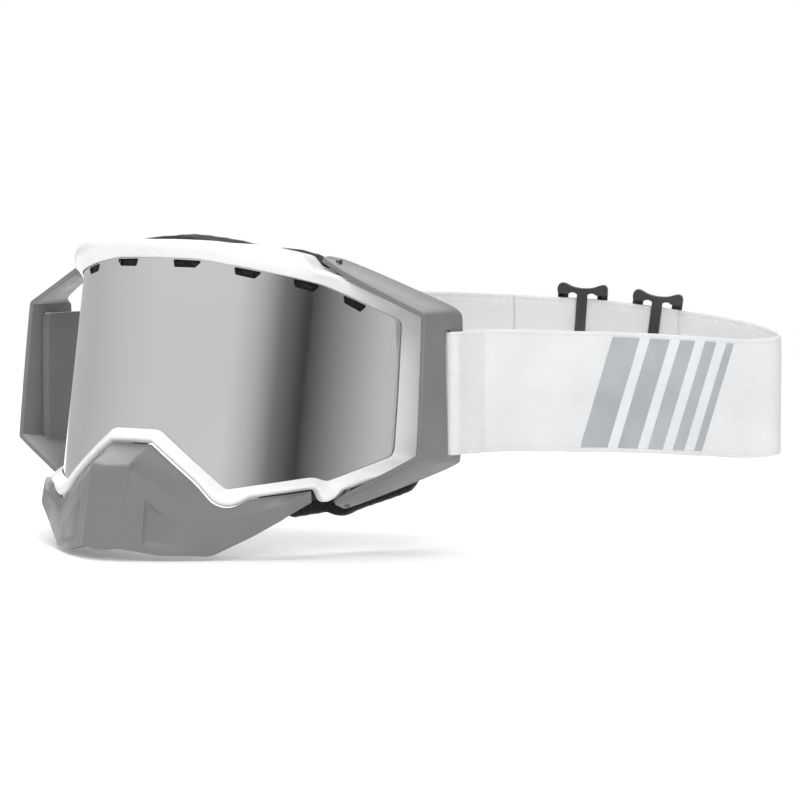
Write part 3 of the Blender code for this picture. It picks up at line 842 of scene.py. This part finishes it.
def foam(outline):
    """Three bonded layers; the last one is soft, with a crowned fleece face."""
    finishes = {"foam_base": FINE_FOAM, "foam_middle": COARSE_FOAM, "foam_face": FLEECE}
    for name, front, back in FOAM_LAYERS:
        crowned = name == "foam_face"

        def section(point, normal, front=front, back=back, crowned=crowned):
            start = FACE_FRAME_DEPTH + PIECE_GAP
            near = start + (foam_total(point) - start) * front
            far = start + (foam_total(point) - start) * back - PIECE_GAP
            w, flare = foam_width(point, normal)
            outer_near = w + flare * min(1, 0.2 + front)
            outer_far = w + flare * min(1, 0.2 + back)
            wave = 0.12 * sin(point.x * 0.9 + point.y * 1.3)
            middle = (near + far) / 2
            if crowned:
                bulge = far + 0.5
                return ((-1.0, 0, near), (outer_near * 0.5, 0, near), (outer_near, 0, near),
                        (outer_far + 0.4 + wave, 0, middle), (outer_far - 0.5, 0, far),
                        (outer_far * 0.6, 0, bulge), (outer_far * 0.3, 0, bulge),
                        (-0.6, 0, far), (-1.3 - wave, 0, middle))
            return ((-1.0, 0, near), (-0.6, 0, near), (outer_near - 0.4, 0, near),
                    (outer_near, 0, near + 0.3), (outer_far - 0.2 + wave, 0, middle),
                    (outer_far, 0, far - 0.3), (outer_far - 0.4, 0, far), (-0.6, 0, far),
                    (-1.0, 0, far - 0.3), (-0.8 - wave, 0, middle))
        layer = ring(name + "_layer", outline, section, 2, finishes[name], name)


# ---- outriggers -------------------------------------------------------------------

def mirrored(point, side):
    return Vector((point[0] * side, point[1], point[2]))


def along_axis(z):
    """Point on the outrigger's pivot axis at height z."""
    return PIVOT_TOP.lerp(PIVOT_BOTTOM, (z - PIVOT_TOP.z) / (PIVOT_BOTTOM.z - PIVOT_TOP.z))


def slot_cutter(name, side):
    """Rounded bar that cuts the strap slot through the bracket's post."""
    deep, width, height = SLOT_SIZE
    outline = [(x - width / 2, y - height / 2)
               for x, y in rounded_rectangle(width, height, 1.2, 5)]
    turn = Matrix.Rotation(SLOT_LEAN, 3, "X")
    centre = mirrored(SLOT_CENTRE, side)
    sections = [[centre + turn @ Vector((x, y, z)) for y, z in outline]
                for x in (-deep / 2, deep / 2)]
    return tube(name, sections, GREY_PLASTIC, None)


def bracket(label, side):
    """Outrigger bracket with rounded bends, soft edges and its strap slot."""
    fronts = chaikin([front for front, _ in BRACKET_EDGES], 3)
    rears = chaikin([rear for _, rear in BRACKET_EDGES], 3)
    sections = []
    for index, (front, rear) in enumerate(zip(fronts, rears)):
        low, high = max(0, index - 1), min(len(fronts) - 1, index + 1)
        along = (fronts[high] + rears[high] - fronts[low] - rears[low]).normalized()
        across = rear - front
        inward = across.cross(along).normalized()
        outline = rounded_rectangle(across.length, BRACKET_THICKNESS, BRACKET_EDGE_RADIUS)
        across.normalize()
        sections.append([mirrored(front + across * u + inward * t, side) for u, t in outline])
    made = tube(f"bracket_{label}_shell", sections, GREY_PLASTIC, f"bracket_{label}",
                (f"outrigger_{label}",))
    boolean(made, "DIFFERENCE", slot_cutter(f"slot_{label}", side))
    apply_modifiers(made)
    soften_edges(made, 0.35)
    made.visible_glossy = False         # left out of the mirror, as in a product picture


def strap_cover(label, side):
    """Plate over the folded strap end, with rounded corners."""
    low, high = COVER_SPAN
    tall = high - low
    levels = [0.0, 0.4, 1.2, COVER_CORNER]
    levels += [tall * step / COVER_ROWS for step in range(3, COVER_ROWS - 2)]
    levels += [tall - z for z in levels[3::-1]]
    sections = []
    for level in levels:
        depth = min(level, tall - level, COVER_CORNER)
        trim = COVER_CORNER - (depth * (2 * COVER_CORNER - depth)) ** 0.5
        sections.append([Vector((side * x, y - trim if y > 60 else y + 0.5 * trim, low + level))
                         for x, y in COVER_SECTION])
    made = tube(f"strap_cover_{label}_plate", sections, GREY_PLASTIC, f"bracket_{label}",
                (f"strap_cover_{label}",))
    soften_edges(made, 0.3)
    made.visible_glossy = False


def pin(name, start, stop, stands_for):
    """Steel pin with a low domed head at its stop end."""
    axis = (stop - start).normalized()
    length = (stop - start).length
    across = axis.orthogonal().normalized()
    other = axis.cross(across)
    r = PIN_RADIUS
    outline = ((r - 0.3, 0), (r, 0.3), (r, length - 0.4), (r - 0.1, length - 0.2),
               (r * 0.75, length), (r * 0.3, length + 0.12))
    angles = [2 * pi * step / PIN_SIDES for step in range(PIN_SIDES)]
    sections = [[start + axis * height + radius * (across * cos(angle) + other * sin(angle))
                 for angle in angles] for radius, height in outline]
    tube(name, sections, STEEL, "root", (stands_for,))


def pivot_pins():
    for label, side in (("left", 1), ("right", -1)):
        for end, (tip, head) in PIN_SPANS.items():
            pin(f"pin_{label}_{end}", mirrored(along_axis(tip), side),
                mirrored(along_axis(head), side), f"pivot_pin_{label}_{end}")


# ---- nose guard -------------------------------------------------------------------

def guard_top(outline):
    """The guard's top edge, just outside the frame's lower border, as (s, point) pairs."""
    edge = [point + normal * (lip_width(point, normal) + GUARD_SEAT)
            for point, normal in zip(outline, outward(outline)) if normal.y < -0.05]
    edge.sort(key=lambda place: place.x)
    return [(place.x, surface(place.x, place.y, 2.6)) for place in edge]


def between(table, s):
    """Point of an (s, point) table at s, in straight steps."""
    for (s0, first), (s1, second) in zip(table, table[1:]):
        if s <= s1:
            return first.lerp(second, (s - s0) / (s1 - s0))
    return table[-1][1]


def guard_relief(s, share):
    """Height of the guard's moulded detail: a rib beside the centre and an angled panel."""
    s = abs(s)
    rib = 0.5 * slope(s, 8.0, 9.0) * (1 - slope(s, 9.8, 10.6)) * slope(share, 0.2, 0.3)
    top = 0.50 + 0.010 * (s - 17)
    panel = slope(s, 16.6, 17.3) * (1 - slope(s, 19.0, 33.0))
    panel *= slope(share, top, top + 0.03) * (1 - slope(share, 0.88, 0.92))
    return rib - 1.2 * panel


def eased(points):
    """The line through the points, with each bend rounded close to its corner."""
    line = [Vector(points[0])]
    for before, corner, after in zip(points, points[1:], points[2:]):
        line += [corner.lerp(before, 0.28), corner, corner.lerp(after, 0.28)]
    return chaikin(line + [Vector(points[-1])], 3)


def nose_guard(outline):
    rows = [guard_top(outline)]
    for row in (1, 2, 3):
        half = [Vector((column[0], *column[row])) for column in GUARD_COLUMNS]
        whole = [Vector((-p[0], -p[1], p[2], p[3])) for p in reversed(half[1:])] + half
        smooth = eased(whole)
        rows.append([(p[0], Vector(p[1:])) for p in smooth])
    reach = GUARD_COLUMNS[-1][0]
    count = int(2 * reach / GUARD_PITCH)
    stations = [-reach + 2 * reach * i / count for i in range(count + 1)]
    points = []
    for s in stations:
        line = eased([between(table, s) for table in rows])
        points.append(resampled(line, GUARD_ROWS))
    vertices = []
    for i, column in enumerate(points):
        for j, point in enumerate(column):
            along = points[min(count, i + 1)][j] - points[max(0, i - 1)][j]
            down = column[min(GUARD_ROWS, j + 1)] - column[max(0, j - 1)]
            normal = down.cross(along).normalized()
            if normal.y > 0:
                normal = -normal
            vertices.append(point + normal * guard_relief(stations[i], j / GUARD_ROWS))
    faces = grid_faces(count, GUARD_ROWS)
    made = add_piece("nose_deflector", vertices, faces, GREY_PLASTIC, "root",
                     ("nose_guard",))
    if made.data.polygons[len(faces) // 2].normal.y > 0:
        made.data.flip_normals()
    thick = made.modifiers.new("thickness", "SOLIDIFY")
    thick.thickness = GUARD_THICKNESS * MM
    thick.offset = -1.0
    soften_edges(made, 0.5, angle=60.0)


# ---- strap ------------------------------------------------------------------------

def smooth_route(points, samples):
    """Points of a Catmull-Rom curve through the given points."""
    route = [Vector(point) for point in points]
    ends = [2 * route[0] - route[1]] + route + [2 * route[-1] - route[-2]]
    curve = []
    for p0, p1, p2, p3 in zip(ends, ends[1:], ends[2:], ends[3:]):
        for step in range(samples):
            t = step / samples
            curve.append(0.5 * (2 * p1 + (p2 - p0) * t + (2 * p0 - 5 * p1 + 4 * p2 - p3) * t * t
                                + (3 * p1 - p0 - 3 * p2 + p3) * t ** 3))
    return curve + [route[-1]]


def sideways(route):
    """Level direction square to the route at each of its points, on the outer side."""
    result = []
    for index in range(len(route)):
        along = route[min(len(route) - 1, index + 1)] - route[max(0, index - 1)]
        result.append(Vector((along.y, -along.x, 0)).normalized())
    return result


def web_section():
    """Outline of the webbing's cut as (across, thickness), with a selvedge at each edge."""
    half = STRAP_WIDTH / 2
    face = [(-half + 0.15, 0.30), (-half + 0.5, 0.52), (-half + 1.2, 0.56), (-half + 1.7, 0.46),
            (-half + 2.2, 0.56), (-half + 4.0, 0.6)]
    middle = [(-half + 4.0 + (STRAP_WIDTH - 8.0) * i / 10, 0.6) for i in range(1, 10)]
    outer = face + middle + [(-x, t) for x, t in reversed(face)]
    return outer + [(x, -t) for x, t in reversed(outer)]


def ribbon(name, route, body, stands_for):
    """Flat webbing standing on edge along a route, with a UV map in real lengths."""
    outline = web_section()
    lengths = lengths_along(route)
    sections = []
    for point, normal, length in zip(route, sideways(route), lengths):
        sway = 0.15 * sin(length * 0.11) + 0.1 * sin(length * 0.29 + 1.0)
        section = []
        for across, thick in outline:
            edge = (abs(across) / (STRAP_WIDTH / 2)) ** 4
            ripple = 0.12 * edge * sin(length * 0.35 + (2.0 if across > 0 else 0.0))
            section.append(point + normal * (thick + ripple)
                           + Vector((0, 0, across + sway * 0.5)))
        sections.append(section)
    made = tube(name, sections, ELASTIC, body, stands_for, smooth=60)
    layer = made.data.uv_layers.new(name="strap")
    for loop in made.data.loops:
        station, j = divmod(loop.vertex_index, len(outline))
        layer.data[loop.index].uv = (lengths[station] / UV_MM,
                                     (outline[j][0] + STRAP_WIDTH / 2) / UV_MM)
    return made


def folded_end(side, route, normals):
    """Route of a strap end: from its sewn end inside, round the bracket's bar, and outside."""
    lengths = lengths_along(route)
    leg = [point - normal * LAYER_PITCH for point, normal, length
           in zip(route, normals, lengths) if 2.0 < length < FOLDED_END]
    z = route[0].z
    start = [Vector((side * x, y, z)) for x, y in LOOP_PATH]
    outer = []
    for point, normal, length in zip(route, normals, lengths):
        offset = LAYER_PITCH * (1 - ramp(length, 4.0, MERGE_LENGTH))
        outer.append(point + normal * offset)
    return leg[::-1] + start + outer


def even_route(route):
    """The same route with a point about every millimetre."""
    return resampled(route, int(lengths_along(route)[-1]))


def motif(route, normals):
    """Slanted bars of decreasing width, printed proud of the webbing's outer face."""
    lengths = lengths_along(route)

    def place(length, across, lift):
        index = min(len(route) - 2, max(0, sum(1 for known in lengths if known < length) - 1))
        t = (length - lengths[index]) / (lengths[index + 1] - lengths[index])
        normal = normals[index].lerp(normals[index + 1], t)
        return route[index].lerp(route[index + 1], t) + normal * lift + Vector((0, 0, across))

    position = MOTIF_START
    for number, width in enumerate(MOTIF_BARS):
        columns = max(2, int(width))
        vertices = []
        for lift in MOTIF_LIFTS:
            for i in range(columns + 1):
                for j in range(MOTIF_ROWS + 1):
                    a, b = i / columns, j / MOTIF_ROWS
                    length = position + a * width + b * MOTIF_SLANT
                    vertices.append(place(length, (b - 0.5) * MOTIF_HEIGHT, lift))
        deep = MOTIF_ROWS + 1
        sheet = (columns + 1) * deep
        faces = grid_faces(columns, MOTIF_ROWS) + grid_faces(columns, MOTIF_ROWS, sheet)
        rim = ([i * deep for i in range(columns + 1)]
               + [columns * deep + j for j in range(1, deep)]
               + [i * deep + MOTIF_ROWS for i in range(columns - 1, -1, -1)]
               + [j for j in range(MOTIF_ROWS - 1, 0, -1)])
        faces += [(a, b, b + sheet, a + sheet) for a, b in zip(rim, rim[1:] + rim[:1])]
        bar = add_piece(f"strap_motif_{number + 1}", vertices, faces, PRINT, None)
        soften_edges(bar, 0.1, segments=2)
        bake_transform(bar)
        position += width + MOTIF_GAP


def slider(name, route):
    """Three-bar slider with bone-shaped ends, its middle bar on the strap's inner face."""
    index = round(SLIDER_STATIONS[name] * (len(route) - 1))
    place = route[index]
    tangent = (route[index + 1] - route[index - 1]).normalized()
    normal = Vector((tangent.y, -tangent.x, 0)).normalized()
    up = normal.cross(tangent)
    if up.z < 0:
        up = -up
    turn = Matrix((tangent, normal, up)).transposed()
    inner = -(WEB_THICKNESS / 2 + LAYER_PITCH + SLIDER_GAP)
    outer = WEB_THICKNESS / 2 + SLIDER_GAP
    low, high = inner - SLIDER_BAR_DEPTH, outer + SLIDER_BAR_DEPTH
    side_x = (SLIDER_LENGTH - SLIDER_BAR) / 2
    half = STRAP_WIDTH / 2 + SLIDER_PLAY
    solids = []
    for sign in (1, -1):
        outline = [(x, sign * z) for x, z in bone_outline(half)]
        solids.append([[Vector((x, y, z)) for x, z in outline] for y in (low, high)])
    bars = ((0, low, inner), (side_x, outer, high), (-side_x, outer, high))
    for centre, near, far in bars:
        outline = [(centre - SLIDER_BAR / 2 + u, near + t)
                   for u, t in rounded_rectangle(SLIDER_BAR, far - near, 0.55)]
        solids.append([[Vector((x, y, z)) for x, y in outline] for z in (-half - 2, half + 2)])
    solids = [[[turn @ point + place for point in section] for section in solid]
              for solid in solids]
    body = name.replace("strap_slider", "slider")
    made = tube(f"{body}_buckle", solids[0], BLACK_PLASTIC, body, (name,))
    for number, solid in enumerate(solids[1:]):
        boolean(made, "UNION", tube(f"{body}_{number}", solid, BLACK_PLASTIC, None))
    apply_modifiers(made)
    soften_edges(made, 0.4)


def bone_outline(base):
    """Outline of a slider's end: a waisted bar with a round lobe at each end."""
    half = SLIDER_LENGTH / 2
    tall = SLIDER_END_HEIGHT
    right = ((1.4, 2.4), (4.0, 2.8), (6.2, tall - 0.4), (7.6, tall), (half - 0.7, tall - 0.3),
             (half, 2.6), (half, 1.0), (half - 0.5, 0.0), (5.2, 0.0), (4.4, 0.7), (2.9, 0.7),
             (2.0, 0.0))
    whole = list(right) + [(-x, z) for x, z in reversed(right)]
    rounded = chaikin([(x, z, 0) for x, z in whole], 2, closed=True)
    return [(p[0], base + p[1]) for p in rounded]


def strap():
    """The band in two pieces that meet at the front slider, its tail, motif and sliders."""
    route = smooth_route(STRAP_ROUTE, SAMPLES_PER_SPAN)
    normals = sideways(route)
    stations = [round(share * (len(route) - 1)) for share in SLIDER_STATIONS.values()]
    meet = stations[0]
    near_route = even_route(folded_end(1, route[:meet], normals[:meet]))
    far_route = even_route(folded_end(-1, route[meet:][::-1], normals[meet:][::-1]))
    left = ribbon("strap_left", near_route, None, ("strap_band", "strap_loop_left"))
    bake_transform(left)
    right = ribbon("strap_right", far_route, None, ("strap_loop_right",))
    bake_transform(right)
    for piece in (left, right):
        piece.visible_glossy = False
    tail = [point - normal * LAYER_PITCH for point, normal in zip(route, normals)]
    tail = even_route(tail[min(stations) - TAIL_ENDS[0]:max(stations) + TAIL_ENDS[1]])
    ribbon("strap_tail_web", tail, "root", ("strap_tail",))
    motif(route, normals)
    for name in SLIDER_STATIONS:
        slider(name, smooth_route(STRAP_ROUTE, SLIDER_SAMPLES))


# ---- stage ------------------------------------------------------------------------

def floor(height):
    """Round white table that glows a little, so that it stays white to its edge."""
    rim = [(FLOOR_RADIUS * cos(2 * pi * i / FLOOR_SIDES),
            FLOOR_RADIUS * sin(2 * pi * i / FLOOR_SIDES), height) for i in range(FLOOR_SIDES)]
    mesh = bpy.data.meshes.new("floor")
    mesh.from_pydata(rim, [], [tuple(range(FLOOR_SIDES))])
    white = Nodes("floor_white", (0.80, 0.80, 0.80), 0.9)
    white.set("Emission Color", grey(1.0))
    white.set("Emission Strength", 0.12)
    mesh.materials.append(white.material)
    placed("floor", mesh)


def towards(azimuth, elevation):
    """Direction from the goggles, in degrees: 0 azimuth is in front of them."""
    a, e = radians(azimuth), radians(elevation)
    return Vector((sin(a) * cos(e), -cos(a) * cos(e), sin(e)))


def area_light(name, azimuth, elevation, size, power, seen_in_gloss):
    """Square lamp aimed at the goggles."""
    back = towards(azimuth, elevation)
    lamp = bpy.data.lights.new(name, "AREA")
    lamp.shape = "SQUARE"
    lamp.size = size
    lamp.energy = power
    made = placed(name, lamp)
    made.location = back * LAMP_DISTANCE
    made.rotation_euler = back.to_track_quat("Z", "Y").to_euler()
    made.visible_glossy = seen_in_gloss


def grey(level):
    return (level, level, level, 1.0)


def wall_levels(tree):
    """Soft grey walls that change with compass direction, for gloss to reflect."""
    place = tree.nodes.new("ShaderNodeTexCoord")
    split = tree.nodes.new("ShaderNodeSeparateXYZ")
    tree.links.new(place.outputs["Generated"], split.inputs[0])
    ahead = math_node(tree, "MULTIPLY", split.outputs["Y"], -1.0)
    compass = math_node(tree, "ARCTAN2", split.outputs["X"], ahead)
    turn = math_node(tree, "MULTIPLY_ADD", compass, 1 / (2 * pi), 0.5)
    walls = tree.nodes.new("ShaderNodeValToRGB")
    stops = walls.color_ramp.elements
    stops.remove(stops[-1])
    for index, (degrees, level) in enumerate(WALL_STOPS):
        stop = stops[0] if index == 0 else stops.new(degrees / 360 + 0.5)
        stop.position = degrees / 360 + 0.5
        stop.color = grey(level)
    tree.links.new(turn, walls.inputs[0])
    return walls.outputs["Color"]


def world():
    """White studio: the camera sees plain white, gloss sees the walls, the rest is dim."""
    made = bpy.data.worlds.new("studio")
    made.use_nodes = True
    tree = made.node_tree
    path = tree.nodes.new("ShaderNodeLightPath")
    lit = mixed(tree, path.outputs["Is Glossy Ray"], grey(WORLD_FILL), wall_levels(tree))
    seen = mixed(tree, path.outputs["Is Camera Ray"], lit, grey(1.0))
    tree.links.new(seen, tree.nodes["Background"].inputs["Color"])
    bpy.context.scene.world = made
    bpy.context.scene.view_settings.view_transform = "Standard"


def camera():
    """Long lens from the wearer's left, a little above the goggles."""
    back = towards(CAMERA_AZIMUTH, CAMERA_ELEVATION)
    data = bpy.data.cameras.new("camera")
    data.lens = 180.0
    data.sensor_width = 36.0
    made = placed("camera", data)
    made.location = CAMERA_TARGET + back * CAMERA_DISTANCE
    made.rotation_euler = (-back).to_track_quat("-Z", "Y").to_euler()
    bpy.context.scene.camera = made


opening = rounded_outline(list(OPENING_HALF)
                          + [(-s, v, radius) for s, v, radius in reversed(OPENING_HALF)])
frame_pieces(opening)
lens(opening)
vent_foam()
foam(opening)
for hand, sign in (("left", 1), ("right", -1)):
    bracket(hand, sign)
    strap_cover(hand, sign)
pivot_pins()
nose_guard(opening)
strap()

floor(CAD_LOW.z - FLOOR_CLEARANCE)
world()
for lamp_settings in LAMPS:
    area_light(*lamp_settings)
camera()
